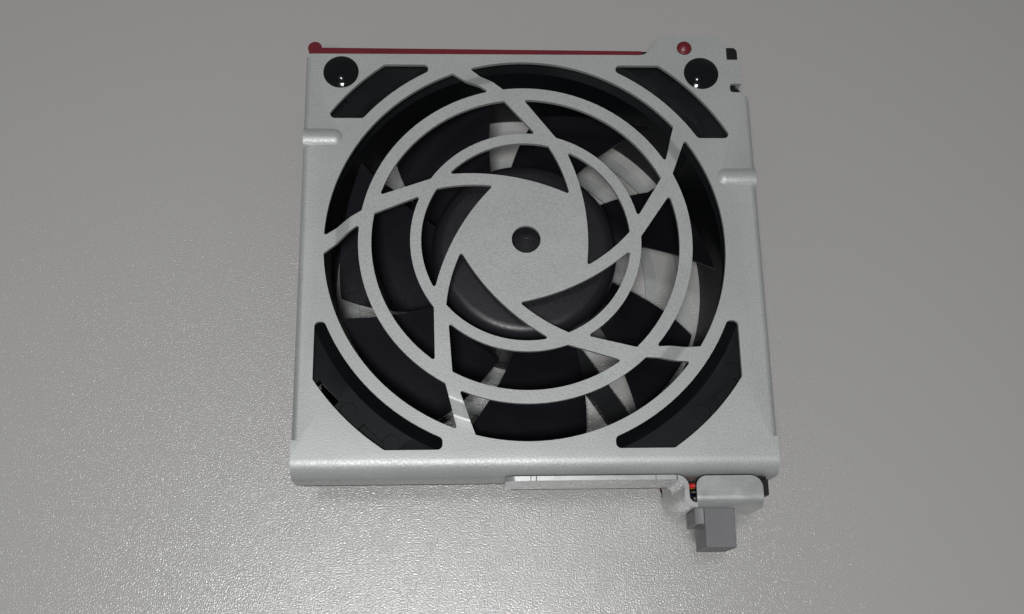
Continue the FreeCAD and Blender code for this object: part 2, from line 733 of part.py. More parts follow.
def make_impeller():
    low = size("hub_low")
    face = size("hub_face")
    radius = size("hub_radius")
    inside = size("yoke_radius")
    hub = Part.Face(rounded_wire([
        (0, face, 0), (0, face - size("hub_skin"), 0), (inside, face - size("hub_skin"), 0),
        (inside, low, 0), (radius, low, 0), (radius, face, size("hub_shoulder")),
    ]))
    hub.rotate(Vec(0, 0, 0), Vec(1, 0, 0), 90)
    hub = hub.revolve(Vec(0, 0, 0), UP, 360)
    hub = hub.cut([disc(3.2, face - 0.5, face + 1)])
    limit = disc(size("blade_tip"), 0, face).cut(disc(radius - 0.8, 0, face))
    blade = make_blade().common(limit)
    blades = []
    for index in range(BLADES):
        turned = blade.copy()
        turned.rotate(Vec(0, 0, 0), UP, index * 360 / BLADES)
        blades.append(turned)
    return feature("impeller", hub.fuse(blades).removeSplitter())


def make_rotor():
    yoke_top = "hub_face - hub_skin"
    shell = tube("yoke_radius", "yoke_radius - yoke_thick", f"{yoke_top} - yoke_low", "yoke_low")
    lid = tube("yoke_radius", "bush_radius", "yoke_thick", f"{yoke_top} - yoke_thick")
    keep("rotor_yoke", fuse(shell, lid))
    keep("rotor_magnet", tube("yoke_radius - yoke_thick", "yoke_radius - yoke_thick - magnet_thick",
                              "magnet_long", "magnet_low"))
    bush_low = f"{yoke_top} - bush_long"
    keep("shaft_bush", tube("bush_radius", "shaft_radius", "bush_long", bush_low))
    groove = tube("shaft_radius", "shaft_radius - 0.4", "0.7", "rear_bearing - 0.8")
    keep("shaft", cut(cylinder("shaft_radius", f"{yoke_top} - shaft_low", "shaft_low"), groove))
    clip = tube("shaft_radius + 1.0", "shaft_radius - 0.4", "0.6", "rear_bearing - 0.75")
    keep("shaft_clip", cut(clip, block("4", "2", "1", "0", "-1", "rear_bearing - 0.9")))


def make_bearing(name, height):
    """Ball bearing as an inner ring, an outer ring and a set of balls."""
    middle = f"({height} + bearing_long / 2)"
    groove = doc.addObject("Part::Torus", "groove")
    bind(groove, "Radius1", "(race_in + race_out) / 2")
    bind(groove, "Radius2", "groove_radius")
    move(groove, z=middle)
    inner = tube("race_in", "shaft_radius", "bearing_long", height)
    outer = tube("bearing_radius", "race_out", "bearing_long", height)
    keep(f"{name}_bearing_inner", cut(inner, groove))
    keep(f"{name}_bearing_outer", cut(outer, groove))
    balls = []
    for index in range(BALLS):
        spot = polar(size("(race_in + race_out) / 2"), index * 360 / BALLS)
        ball = doc.addObject("Part::Sphere", "ball")
        bind(ball, "Radius", "ball_radius")
        balls.append(move(ball, str(round(spot.x, 6)), str(round(spot.y, 6)), middle))
    keep(f"{name}_bearing_balls", compound(*balls))


def make_bearing_tube():
    """Tube with a bearing at each end and a shoulder between them."""
    wall = tube("bearing_radius + tube_wall", "bearing_radius", "tube_top - tube_low", "tube_low")
    floor = cylinder("bearing_radius + tube_wall", "0.8", "tube_low")
    start = "(rear_bearing + bearing_long)"
    shoulder = tube("bearing_radius + 0.5", "shoulder_bore", f"front_bearing - spring_gap - {start}", start)
    keep("bearing_tube", fuse(wall, floor, shoulder))


def make_preload_spring():
    """Cone washer between the tube's shoulder and the outer ring of the front bearing."""
    high = size("front_bearing")
    low = high - size("spring_gap")
    thick = size("spring_thick")
    inside = size("shoulder_bore") + 0.05
    outside = size("bearing_radius") - 0.1
    section = Part.Face(Part.makePolygon([
        Vec(inside, 0, low), Vec(outside, 0, high - thick), Vec(outside, 0, high),
        Vec(inside, 0, low + thick), Vec(inside, 0, low)]))
    feature("preload_spring", section.revolve(Vec(0, 0, 0), UP, 360))


def make_stator():
    low = size("core_low")
    high = low + size("core_long")
    radius = size("core_radius")
    shoe_in = radius - size("shoe_thick")
    tube_radius = size("bearing_radius + tube_wall")
    neck = size("core_neck")
    ring = disc(radius, low, high).cut(disc(shoe_in, low, high))
    gaps = []
    spokes = []
    for pole in range(POLES):
        angle = 45 + pole * 360 / POLES
        gaps.append(strut_box(angle + 180 / POLES, size("slot_gap"), low, high, radius + 1))
        spokes.append(strut_box(angle, neck, low, high, shoe_in + 0.5))
    core = ring.cut(gaps).fuse(spokes + [disc(size("core_hub"), low, high)])
    bore = disc(tube_radius, 0, 40)
    feature("stator_core", core.cut(bore).removeSplitter())
    film = size("insulator_thick")
    for name, base in (("rear_insulator", low - film), ("front_insulator", high)):
        star = [strut_box(45 + pole * 90, neck, base, base + film, shoe_in) for pole in range(POLES)]
        lip = disc(shoe_in + 1.2, base, base + film).cut(disc(shoe_in - 0.2, base, base + film))
        lip = lip.cut([strut_box(90 * pole, size("slot_gap"), base, base + film, radius)
                       for pole in range(POLES)])
        body = disc(size("core_hub"), base, base + film).fuse(star + [lip]).cut(bore)
        feature(name, body.removeSplitter())
    build = size("coil_thick")
    start = size("core_hub") + 0.2
    end = math.sqrt(shoe_in ** 2 - (neck / 2 + build) ** 2) - 0.4
    coils = []
    for pole in range(POLES):
        outer = Part.makeBox(end - start, neck + 2 * build, high - low + 2 * (film + build),
                             Vec(start, -neck / 2 - build, low - film - build))
        inner = Part.makeBox(end - start, neck, high - low + 2 * film, Vec(start, -neck / 2, low - film))
        coil = outer.makeFillet(1.2, [edge for edge in outer.Edges if along_first_axis(edge)])
        coil = coil.cut(inner)
        coil.rotate(Vec(0, 0, 0), UP, 45 + pole * 90)
        coils.append(coil)
    feature("windings", Part.makeCompound(coils))


def along_first_axis(edge):
    return abs(edge.tangentAt(edge.FirstParameter).x) > 0.99


def make_board():
    body = new_body("circuit_board")
    sketch = new_sketch(body, offset="board_low")
    add_circle(sketch, "board_radius")
    add_circle(sketch, "bearing_radius + tube_wall + 0.3")
    pad(body, sketch, "board_thick")
    top = "board_low + board_thick"
    keep("hall_sensor", block("3.2", "2.8", "1.5", "18", "-1.4", top))
    keep("driver_chip", block("6", "5", "1.2", "-16", "-2.5", "board_low - 1.2"))
    keep("capacitor", cylinder("2.4", "4.4", top, "0", "14.5"))


# ---------------------------------------------------------------- fasteners

def make_front_isolators():
    """Two soft mounts with a domed head, a collar that spaces the guard and a stem."""
    back = size(GUARD_BACK)
    front = size(GUARD_FRONT)
    frame = size(FRAME_FRONT)
    stem = size("isolator_stem")
    head = size("isolator_head")
    rise = size("isolator_rise")
    collar = size("isolator_collar")
    tip = frame - size("isolator_long")
    ball = (head ** 2 + rise ** 2) / (2 * rise)
    shoulder = front + rise - ball + math.sqrt(ball ** 2 - (head / 2) ** 2)
    dome = Part.Arc(Vec(head, 0, front), Vec(head / 2, 0, shoulder), Vec(0, 0, front + rise))
    points = [Vec(0, 0, front + rise), Vec(0, 0, tip), Vec(stem - 0.6, 0, tip), Vec(stem, 0, tip + 1.5),
              Vec(stem, 0, frame), Vec(collar, 0, frame), Vec(collar, 0, back),
              Vec(size("isolator_hole"), 0, back), Vec(size("isolator_hole"), 0, front),
              Vec(head, 0, front)]
    edges = [Part.LineSegment(a, b).toShape() for a, b in zip(points, points[1:])]
    profile = Part.Face(Part.Wire(edges + [dome.toShape()]))
    half = size("hole_pitch / 2")
    for name, side in (("left_isolator", -1), ("right_isolator", 1)):
        place = Vec(side * half, half, 0)
        section = profile.copy()
        section.translate(place)
        feature(name, section.revolve(place, UP, 360))


def make_rear_screws():
    half = "hole_pitch / 2"
    screws = []
    for sx, sy in CORNERS:
        shank = cylinder("frame_hole", "screw_long", "0.02", f"{sx} * {half}", f"{sy} * {half}")
        head = fuse(screw_sink("screw_head", sx, sy), shank)
        slot_x = block("4.4", "0.9", "0.9", f"{sx} * {half} - 2.2", f"{sy} * {half} - 0.45", "0")
        slot_y = block("0.9", "4.4", "0.9", f"{sx} * {half} - 0.45", f"{sy} * {half} - 2.2", "0")
        screws.append(cut(head, slot_x, slot_y))
    keep("rear_screws", compound(*screws))


def make_bracket_rivets():
    """Clinch rivets with their heads inside the bottom wall and flush below the bracket."""
    foot = -size("guard_foot")
    thick = size("guard_thick")
    rivets = []
    for place in (5.0, 30.0):
        shank = Part.makeCylinder(1.6, thick + size("bracket_thick"),
                                  Vec(place, foot - size("bracket_thick"), 31.0), Vec(0, 1, 0))
        head = Part.makeCone(2.6, 1.8, 0.9, Vec(place, foot + thick, 31.0), Vec(0, 1, 0))
        rivets.append(shank.fuse(head).removeSplitter())
    feature("bracket_rivets", Part.makeCompound(rivets))


def make_bottom_pads():
    pads = []
    for side in (-1, 1):
        pads.append(block("pad_long", "guard_foot - guard_thick - frame_side / 2", "pad_deep",
                          f"{side} * pad_place - pad_long / 2", "guard_thick - guard_foot", "27"))
    keep("bottom_pads", compound(*pads))


# ---------------------------------------------------------------- lever and side rail

def make_lever():
    """Moulded lever across the top of the fan, with a bead as its finger grip."""
    low = size("lever_low")
    front = size("lever_front")
    foot = size("lever_foot")
    left = -size("lever_left")
    x, y = size("pivot_x"), size("pivot_y")
    boss = size("lever_boss")
    strip = prism(rounded_wire([
        (left, foot, 0), (x, foot, 0), (x, y + boss - 0.3, 0), (x - 5.0, foot + 1.6, 3.0),
        (36.5, foot + size("lever_thick_right"), 6.0), (left, foot + size("lever_thick_left"), 0),
    ]), low, front)
    bead = disc(size("lever_bead"), low, front, left, size("bead_height"))
    gap = size(FRAME_FRONT)
    lip = Part.makeBox(size("lip_end") - left, foot + 0.3 - size("lip_foot"), size("lip_thick"),
                       Vec(left, size("lip_foot"), gap + 0.15))
    hub = disc(boss, low, front, x, y)
    pins = disc(size("pivot_pin"), 0.2, size(GUARD_FRONT) + size("pivot_proud"), x, y)
    step = Part.makeBox(x - boss - size("lip_end"), 8, 10, Vec(size("lip_end"), foot - 4, gap - 2.4))
    solid = strip.cut(step).fuse([bead, lip, hub, pins]).removeSplitter()
    rim = [edge for edge in solid.Edges
           if edge.BoundBox.ZMin > size(GUARD_FRONT) and edge.BoundBox.ZLength < 0.01]
    return feature("lever", solid.makeFillet(0.35, rim))


def make_side_rail():
    body = new_body("side_rail")
    sketch = new_sketch(body, offset="rail_low")
    inner = "frame_side / 2"
    add_rectangle(sketch, inner, "rail_right", "0 - rail_foot", "rail_top")
    pad(body, sketch, "39.0 - rail_low")
    lobes = new_sketch(body, offset="34")
    cut_x = "rail_lobe - rail_corner"
    for low, high in (("57.2", "rail_top"), ("46.2", "49.0")):
        add_outline(lobes, [
            (inner, low), (cut_x, low), ("rail_lobe", f"{low} + rail_corner"),
            ("rail_lobe", f"{high} - rail_corner"), (cut_x, high), (inner, high)])
    pad(body, lobes, "5.0")
    groove = new_sketch(body, offset="rail_low + 12")
    add_rectangle(groove, "rail_right - 1.0", "rail_right + 1", "0 - rail_foot + 6", "40")
    pocket(body, groove, "8", backwards=True)


# ---------------------------------------------------------------- bracket and connector

def make_bracket():
    """Joggled sheet bracket: upper shelf, riser, and lower shelf with a front flange."""
    thick = size("bracket_thick")
    top = -size("guard_foot")
    face = size("riser_x")
    drop = -size("shelf_drop")
    right = size("shelf_right")
    front = size("tab_front")
    left = size("shelf_left")
    tray = size("tray_back")
    folded = prism(rounded_wire([
        (left, top, 0), (face, top, 3.2), (face, drop + thick, 1.8), (right, drop + thick, 0),
        (right, drop, 0), (face - thick, drop, 3.0), (face - thick, top - thick, 2.0),
        (left, top - thick, 0)]), size("riser_back"), size("shelf_front"))
    back = size("riser_back")
    step_back = back + size("riser_step")
    riser = along_x([
        (top + 1, step_back, 0), (-66.4, step_back, 0), (-66.4, back, 0), (-68.2, back, 1.5),
        (-71.0, 12.6, 10.0), (drop - 1.5, 38.4, 0), (drop - 1.5, 45.0, 0), (top + 1, 45.0, 0),
    ], face - thick, face + 0.8)
    shelf_back = size("shelf_back")
    shelf = Part.makeBox(face - thick - left, 4, 30, Vec(left, top - 3, shelf_back))
    ledge = Part.makeBox(right - face - 0.8, 4, 30, Vec(face + 0.8, drop - 1, tray))
    plate = Part.makeBox(thick, 66.4 - size("riser_top"), shelf_back - step_back,
                         Vec(face - thick, -66.4, step_back))
    edge = size("shelf_front")
    shelf = shelf.common(along_y([(left, shelf_back, 1.0), (face, shelf_back, 0), (face, edge, 0),
                                  (left, edge, size("shelf_corner"))], top - 4, top + 1))
    step = Part.makeBox(40, 12, 10, Vec(size("tab_left"), top - 11, front - 2.6))
    folded = folded.common(riser.fuse([shelf, ledge])).cut(step).fuse(plate)
    flange = along_x([(top - 0.3, front, 0), (drop, front, 3.0), (drop, front - 3.2, 0),
                      (drop + thick, front - 3.2, 0), (drop + thick, front - thick, 1.8),
                      (top - 0.3, front - thick, 0)], size("tab_left"), size("tab_right"))
    outline = prism(rounded_wire([
        (size("tab_left"), -size("tab_top"), size("tab_corner")),
        (size("tab_right"), -size("tab_top"), size("tab_corner_right")),
        (size("tab_right"), drop - 1, 0), (size("tab_left"), drop - 1, 0)]), 30, 45)
    hole = Part.makeBox(size("plug_right - plug_left") + 0.6, 4, size("plug_front") + 0.3 - tray + 1,
                        Vec(size("plug_left") - 0.3, drop - 1, tray - 1))
    key = Part.makeBox(size("plug_left - key_left") + 0.6, 4, size("key_front - key_back") + 0.6,
                       Vec(size("key_left") - 0.3, drop - 1, size("key_back") - 0.3))
    solid = folded.fuse(flange.common(outline)).cut([hole, key])
    for place in (5.0, 30.0):
        solid = solid.cut(Part.makeCylinder(1.6, 4, Vec(place, top - 2, 31.0), Vec(0, 1, 0)))
    return feature("connector_bracket", solid.removeSplitter())


def make_housing():
    """Connector housing with a keying ear and six contact cavities in its mating face."""
    body = new_body("connector_housing")
    block_sketch = new_sketch(body, offset="plug_back")
    add_rectangle(block_sketch, "plug_left", "plug_right", "0 - plug_foot", "0 - plug_top")
    pad(body, block_sketch, "plug_front - plug_back")
    key_sketch = new_sketch(body, offset="key_back")
    add_rectangle(key_sketch, "key_left", "plug_left + 0.5", "0 - key_foot", "0 - plug_top - 3")
    pad(body, key_sketch, "key_front - key_back")
    mouth = new_sketch(body, "XZ_Plane", "plug_foot")
    for column in (-1, 1):
        for row in (-1, 0, 1):
            x, z = cavity_centre(column, row)
            half = "cavity_side / 2"
            add_rectangle(mouth, f"{x} - {half}", f"{x} + {half}", f"{z} - {half}", f"{z} + {half}")
    pocket(body, mouth, "cavity_deep")


def cavity_centre(column, row):
    x = f"(plug_left + plug_right) / 2 + {column} * 1.6"
    z = f"(plug_back + plug_front) / 2 + {row} * 4.2"
    return x, z


def make_contacts():
    blades = []
    for column in (-1, 1):
        for row in (-1, 0, 1):
            x, z = cavity_centre(column, row)
            blades.append(block("contact_thick", "cavity_deep - 1.2", "contact_wide",
                                f"{x} - contact_thick / 2", "1.2 - plug_foot", f"{z} - contact_wide / 2"))
    keep("connector_contacts", compound(*blades))


def make_carrier():
    """Black carrier that holds the housing between the shelf and the guard's bottom wall."""
    body = new_body("connector_carrier")
    sketch = new_sketch(body, offset="tray_back + 0.4")
    right = "carrier_low_right"
    low = "0 - shelf_drop + bracket_thick + 0.05"
    step = "0 - carrier_step"
    add_outline(sketch, [
        ("carrier_left", low), (right, low), (right, step), ("carrier_right", step),
        ("carrier_right", "-65.3"), ("carrier_left + 1", "-65.3"), ("carrier_left", "-66.3")])
    pad(body, sketch, "37.9 - tray_back - 0.4")
    nose = new_sketch(body, offset="37.9")
    add_rectangle(nose, "carrier_left", "carrier_right", step, "-66.3")
    pad(body, nose, "tab_front - bracket_thick - 0.2 - 37.9")
    room = new_sketch(body, offset="plug_front")
    add_rectangle(room, "plug_left", "plug_right", "0 - shelf_drop", "0 - plug_top")
    pocket(body, room, "plug_front")
    mouth = new_sketch(body, offset="32.0")
    add_rectangle(mouth, "carrier_left - 0.5", "plug_left", "-68.9", "-65.0")
    pocket(body, mouth, "6.2")
    key_room = new_sketch(body, offset="key_front")
    add_rectangle(key_room, "key_left", "plug_left + 0.5", "0 - shelf_drop", "0 - plug_top - 3")
    pocket(body, key_room, "key_front")


def wire_path(points, radii):
    """Straight runs through a list of points, joined by tangent arcs, one radius for each turn."""
    edges = []
    start = points[0]
    for here, after, radius in zip(points[1:], points[2:], radii):
        arriving = (here - start).normalize()
        leaving = (after - here).normalize()
        turn = arriving.getAngle(leaving)
        reach = radius * math.tan(turn / 2)
        entry = here - arriving * reach
        leave = here + leaving * reach
        inward = (leaving - arriving).normalize()
        middle = here + inward * (radius / math.cos(turn / 2) - radius)
        edges.append(Part.LineSegment(start, entry).toShape())
        edges.append(Part.Arc(entry, middle, leave).toShape())
        start = leave
    edges.append(Part.LineSegment(start, points[-1]).toShape())
    return Part.Wire(edges)


def make_lead_wires():
    """Four leads: from the board, along the lead strut, round the corner into the carrier."""
    out = polar(1, LEAD_ANGLE)
    across = Vec(-out.y, out.x, 0)
    radius = size("wire_radius")
    lanes = [("red_wire", -0.76, 3.30, -66.6, 31.2), ("black_wire", -0.76, 1.75, -68.1, 29.7),
             ("yellow_wire", 0.76, 3.30, -66.6, 27.4), ("blue_wire", 0.76, 1.75, -68.1, 27.4)]
    for name, lane, z, row, entry in lanes:
        column = 43.15 + lane
        points = [
            out * 23.5 + across * lane + UP * z,
            out * 73.5 + across * lane + UP * z,
            Vec(column, row, z + 1.2),
            Vec(column, row, entry),
            Vec(size("plug_left"), row, entry),
        ]
        path = wire_path(points, (4.0, 4.0, size("plug_left") - column - 0.05))
        ring = Part.Wire(Part.Circle(points[0], out, radius).toShape())
        lead = path.makePipeShell([ring], True, False)
        expected = math.pi * radius ** 2 * path.Length
        if abs(lead.Volume / expected - 1) > 0.02:
            raise RuntimeError(f"{name} has the wrong volume")
        feature(name, lead)
        bends = [edge.Curve.Radius for edge in path.Edges if isinstance(edge.Curve, Part.Circle)]
        print(f"{name}: length {path.Length:.1f} mm, volume / (section x length) "
              f"{lead.Volume / expected:.3f}")
        print(f"{name}: bend radii {', '.join(f'{bend:.2f}' for bend in bends)} mm, "
              f"wire radius {radius:.2f} mm")


# ---------------------------------------------------------------- assembly

def check():
    doc.recompute()
    for item in doc.Objects:
        if "Invalid" in item.State or "Error" in item.State:
            raise RuntimeError(f"{item.Label} failed: {item.State}")
    for label, item in parts.items():
        if item.Shape.isNull() or not item.Shape.isValid() or not item.Shape.Solids:
            raise RuntimeError(f"{label} has no valid solid")


def write():
    os.makedirs("parts", exist_ok=True)
    for label, item in parts.items():
        item.Shape.exportStep(f"parts/{label}.step")
        print(f"{label}: {len(item.Shape.Solids)} solid, {item.Shape.Volume / 1000:.2f} cm3")


make_front_guard()
make_rear_guard()
make_fan_frame()
make_impeller()
make_rotor()
make_bearing("rear", "rear_bearing")
make_bearing("front", "front_bearing")
make_bearing_tube()
make_preload_spring()
make_stator()
make_board()
make_front_isolators()
make_rear_screws()
make_bracket_rivets()
make_bottom_pads()
make_lever()
make_side_rail()
make_bracket()
make_housing()
make_contacts()
make_carrier()
make_lead_wires()
check()
write()
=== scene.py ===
import bmesh
import bpy
import json
import math
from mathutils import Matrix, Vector


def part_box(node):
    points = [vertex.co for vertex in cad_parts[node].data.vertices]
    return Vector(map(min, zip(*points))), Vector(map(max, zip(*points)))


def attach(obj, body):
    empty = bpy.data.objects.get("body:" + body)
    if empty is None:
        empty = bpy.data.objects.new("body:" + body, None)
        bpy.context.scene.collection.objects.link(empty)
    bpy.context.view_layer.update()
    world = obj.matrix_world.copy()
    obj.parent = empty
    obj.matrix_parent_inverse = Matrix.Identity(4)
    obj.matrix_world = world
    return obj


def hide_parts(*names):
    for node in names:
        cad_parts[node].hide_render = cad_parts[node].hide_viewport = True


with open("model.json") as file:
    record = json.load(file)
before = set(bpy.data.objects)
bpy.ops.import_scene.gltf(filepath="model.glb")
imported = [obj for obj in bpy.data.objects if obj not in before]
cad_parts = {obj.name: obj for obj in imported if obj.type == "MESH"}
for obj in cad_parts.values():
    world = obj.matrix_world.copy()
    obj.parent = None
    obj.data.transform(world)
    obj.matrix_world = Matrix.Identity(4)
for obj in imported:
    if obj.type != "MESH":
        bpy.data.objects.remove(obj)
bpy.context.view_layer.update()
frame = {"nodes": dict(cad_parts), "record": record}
nodes = frame["nodes"]
MM = 0.001

# Lengths below this line are in millimetres.
GRILLE_RISE = 2.25      # the grille stands this far above the guard's plate
FOOT_DROP = 14.5        # from the plate to the lower edge of the guard's foot
FOOT_FACE = -65.0       # outer face of the foot
FOOT_SPAN = (-61.2, 62.0)   # straight stretch of the foot's lower edge
SHELF_FACE = -66.2      # outer face of the bracket's shelf
SHELF_LOW = 23.6
SHELF_TOP = 41.0
SHELF_END = 39.0        # where the shelf turns into the bracket's riser
SHADE_BAND_HIGH = 1.1         # the painted shade band reaches this far above a lower edge
PROUD = 0.05            # marks stand this far out of the sheet

SHARP_ANGLE = 28        # degrees; edges that turn more than this are rounded

PRESS_MARKS = ((0.1, 0.22), (1.5, 0.30), (33.0, 0.22), (38.6, 0.35))    # place along X, width
PIN_CROWN = ((2.10, 41.45), (2.16, 41.60), (2.05, 42.00), (1.75, 42.30),
             (1.3, 42.5), (0.7, 42.62), (0.25, 42.65))                  # radius, height

# These two are in metres.
FINE_GRAIN = 0.0001     # depth of the finest surface grain
COARSE_GRAIN = 0.0002


# ---------------------------------------------------------------- materials

class Look:
    """A procedural material under construction."""

    def __init__(self, name, color, rough=0.5, metal=0.0, specular=0.5):
        self.material = bpy.data.materials.new(name)
        self.material.use_nodes = True
        self.tree = self.material.node_tree
        self.shader = self.tree.nodes["Principled BSDF"]
        self.coords = self.tree.nodes.new("ShaderNodeTexCoord")
        self.shader.inputs["Base Color"].default_value = (*color, 1)
        self.shader.inputs["Roughness"].default_value = rough
        self.shader.inputs["Metallic"].default_value = metal
        self.shader.inputs["Specular IOR Level"].default_value = specular

    def link(self, source, target):
        self.tree.links.new(source, target)

    def noise(self, scale, detail=2.0, rough=0.5, stretch=None):
        """Noise that stays fixed to the object; stretch squeezes it along each axis."""
        node = self.tree.nodes.new("ShaderNodeTexNoise")
        node.inputs["Scale"].default_value = scale
        node.inputs["Detail"].default_value = detail
        node.inputs["Roughness"].default_value = rough
        source = self.coords.outputs["Object"]
        if stretch:
            mapping = self.tree.nodes.new("ShaderNodeMapping")
            mapping.inputs["Scale"].default_value = stretch
            self.link(source, mapping.inputs["Vector"])
            source = mapping.outputs["Vector"]
        self.link(source, node.inputs["Vector"])
        return node.outputs["Fac"]

    def ramp(self, source, stops):
        """Colour a noise output; stops are (place, colour) pairs."""
        node = self.tree.nodes.new("ShaderNodeValToRGB")
        elements = node.color_ramp.elements
        while len(elements) < len(stops):
            elements.new(0.5)
        for element, (place, color) in zip(elements, stops):
            element.position = place
            element.color = (*color, 1)
        self.link(source, node.inputs["Fac"])
        return node.outputs["Color"]

    def spread(self, source, low, high):
        """Map a noise output to a number range."""
        node = self.tree.nodes.new("ShaderNodeMapRange")
        node.inputs["From Min"].default_value = 0.3
        node.inputs["From Max"].default_value = 0.7
        node.inputs["To Min"].default_value = low
        node.inputs["To Max"].default_value = high
        self.link(source, node.inputs["Value"])
        return node.outputs["Result"]

    def mix(self, source, first, second, kind="MIX"):
        """Blend two colours; source is the share of the second one."""
        node = self.tree.nodes.new("ShaderNodeMix")
        node.data_type = "RGBA"
        node.blend_type = kind
        share, color_a, color_b = node.inputs[0], node.inputs[6], node.inputs[7]
        for value, socket in ((source, share), (first, color_a), (second, color_b)):
            if isinstance(value, bpy.types.NodeSocket):
                self.link(value, socket)
            elif isinstance(value, float):
                socket.default_value = value
            else:
                socket.default_value = (*value, 1)
        return node.outputs[2]

    def color(self, source):
        self.link(source, self.shader.inputs["Base Color"])

    def roughness(self, source):
        self.link(source, self.shader.inputs["Roughness"])

    def bump(self, source, strength, distance):
        node = self.tree.nodes.new("ShaderNodeBump")
        node.inputs["Strength"].default_value = strength
        node.inputs["Distance"].default_value = distance
        self.link(source, node.inputs["Height"])
        self.link(node.outputs["Normal"], self.shader.inputs["Normal"])


def galvanised_look(name, pale, dark, rough, metal):
    """Matt sheet with a fine speckle and faint clouds."""
    look = Look(name, pale, rough, metal)
    fine = look.noise(2100, 2)
    cloud = look.noise(55, 4, 0.6)
    speckle = look.ramp(fine, [(0.35, dark), (0.62, pale)])
    tint = look.mix(look.spread(cloud, 0.0, 1.0), (0.93, 0.93, 0.93), (1.04, 1.04, 1.04))
    look.color(look.mix(1.0, speckle, tint, "MULTIPLY"))
    look.roughness(look.spread(fine, rough - 0.06, rough + 0.08))
    look.bump(fine, 0.38, FINE_GRAIN)
    return look.material


def zinc_look(name):
    """Bright plated sheet, slightly uneven, with fine marks from the press tool."""
    darker, paler = (0.45, 0.465, 0.46), (0.51, 0.525, 0.52)
    look = Look(name, paler, 0.30, 0.65)
    cloud = look.noise(140, 4, 0.6)
    marks = look.noise(300, 3, 0.5, (1.0, 4.0, 0.35))
    look.color(look.mix(look.spread(marks, 0.0, 1.0), darker, paler))
    look.roughness(look.spread(cloud, 0.24, 0.33))
    look.bump(marks, 0.05, COARSE_GRAIN)
    return look.material


def plastic_look(name, color, rough, grain=0.15, specular=0.5):
    """Moulded plastic or rubber with a fine grain and faint clouds."""
    look = Look(name, color, rough, 0.0, specular)
    fine = look.noise(1500, 3)
    cloud = look.noise(70, 3)
    darker = tuple(0.82 * part for part in color)
    look.color(look.mix(look.spread(cloud, 0.0, 1.0), darker, color))
    look.roughness(look.spread(fine, rough - 0.05, rough + 0.06))
    look.bump(fine, grain, FINE_GRAIN)
    return look.material


def metal_look(name, color, rough, stretch=None):
    """Bare metal with a fine grain."""
    look = Look(name, color, rough, 1.0)
    fine = look.noise(1800, 3, 0.6, stretch)
    look.roughness(look.spread(fine, rough - 0.05, rough + 0.07))
    look.bump(fine, 0.05, FINE_GRAIN)
    return look.material


looks = {
    "galvanised": galvanised_look("galvanised", (0.380, 0.400, 0.392), (0.340, 0.358, 0.351),
                                  0.44, 0.28),
    "bright_zinc": zinc_look("bright_zinc"),
    "frame_plastic": plastic_look("frame_plastic", (0.005, 0.006, 0.007), 0.50, specular=0.14),
    "wheel_plastic": plastic_look("wheel_plastic", (0.011, 0.011, 0.015), 0.36, specular=0.34),
    "rail_plastic": plastic_look("rail_plastic", (0.009, 0.009, 0.010), 0.55, specular=0.2),
    "lever_plastic": plastic_look("lever_plastic", (0.125, 0.007, 0.016), 0.40, 0.05),
    "isolator_rubber": plastic_look("isolator_rubber", (0.004, 0.005, 0.006), 0.09, 0.01,
                                    specular=0.30),
    "connector_plastic": plastic_look("connector_plastic", (0.130, 0.132, 0.142), 0.45),
    "machined_steel": metal_look("machined_steel", (0.60, 0.60, 0.61), 0.25),
    "cup_steel": metal_look("cup_steel", (0.50, 0.50, 0.51), 0.35),
    "core_steel": metal_look("core_steel", (0.30, 0.30, 0.31), 0.45, (1, 1, 12)),
    "magnet": plastic_look("magnet", (0.05, 0.05, 0.052), 0.6),
    "brass": metal_look("brass", (0.62, 0.45, 0.18), 0.30),
    "contact_metal": metal_look("contact_metal", (0.80, 0.62, 0.30), 0.25),
    "copper_wire": metal_look("copper_wire", (0.62, 0.25, 0.10), 0.30),
    "insulator_plastic": plastic_look("insulator_plastic", (0.60, 0.57, 0.48), 0.5),
    "board": plastic_look("board", (0.02, 0.14, 0.05), 0.35),
    "chip_plastic": plastic_look("chip_plastic", (0.02, 0.02, 0.02), 0.5),
    "nick": metal_look("nick", (0.10, 0.10, 0.10), 0.5),
    # near-black metal, painted shade for the shadow line under the lower sheet edges
    "painted_edge_shade": metal_look("painted_edge_shade", (0.035, 0.033, 0.032), 0.5),
    "capacitor_can": metal_look("capacitor_can", (0.75, 0.75, 0.77), 0.3),
    "red_insulation": plastic_look("red_insulation", (0.55, 0.02, 0.015), 0.35, 0.02),
    "black_insulation": plastic_look("black_insulation", (0.015, 0.015, 0.015), 0.35, 0.02),
    "yellow_insulation": plastic_look("yellow_insulation", (0.65, 0.42, 0.02), 0.35, 0.02),
    "blue_insulation": plastic_look("blue_insulation", (0.02, 0.08, 0.40), 0.35, 0.02),
}
slot_of = {entry["node"]: entry["material_slot"] for entry in frame["record"]["subparts"]}
body_of = {node: body for body, members in frame["record"]["behaviour"]["bodies"].items()
           for node in members}


def dress(piece, material):
    """Give a piece one material."""
    piece.data.materials.clear()
    piece.data.materials.append(material)


for name, piece in nodes.items():
    dress(piece, looks[slot_of[name]])


# ---------------------------------------------------------------- pieces from the solids

def new_piece(name, mesh, body, slot, look=None):
    """Object for a mesh, riding on a body, finished as its slot or as another look."""
    piece = bpy.data.objects.new(name, mesh)
    bpy.context.scene.collection.objects.link(piece)
    dress(piece, looks[look or slot])
    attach(piece, body)
    return piece


def smoothed(mesh, angle):
    """Shade a mesh smooth, but for the edges that turn more than angle degrees."""
    for polygon in mesh.polygons:
        polygon.use_smooth = True
    mesh.set_sharp_from_angle(angle=math.radians(angle))


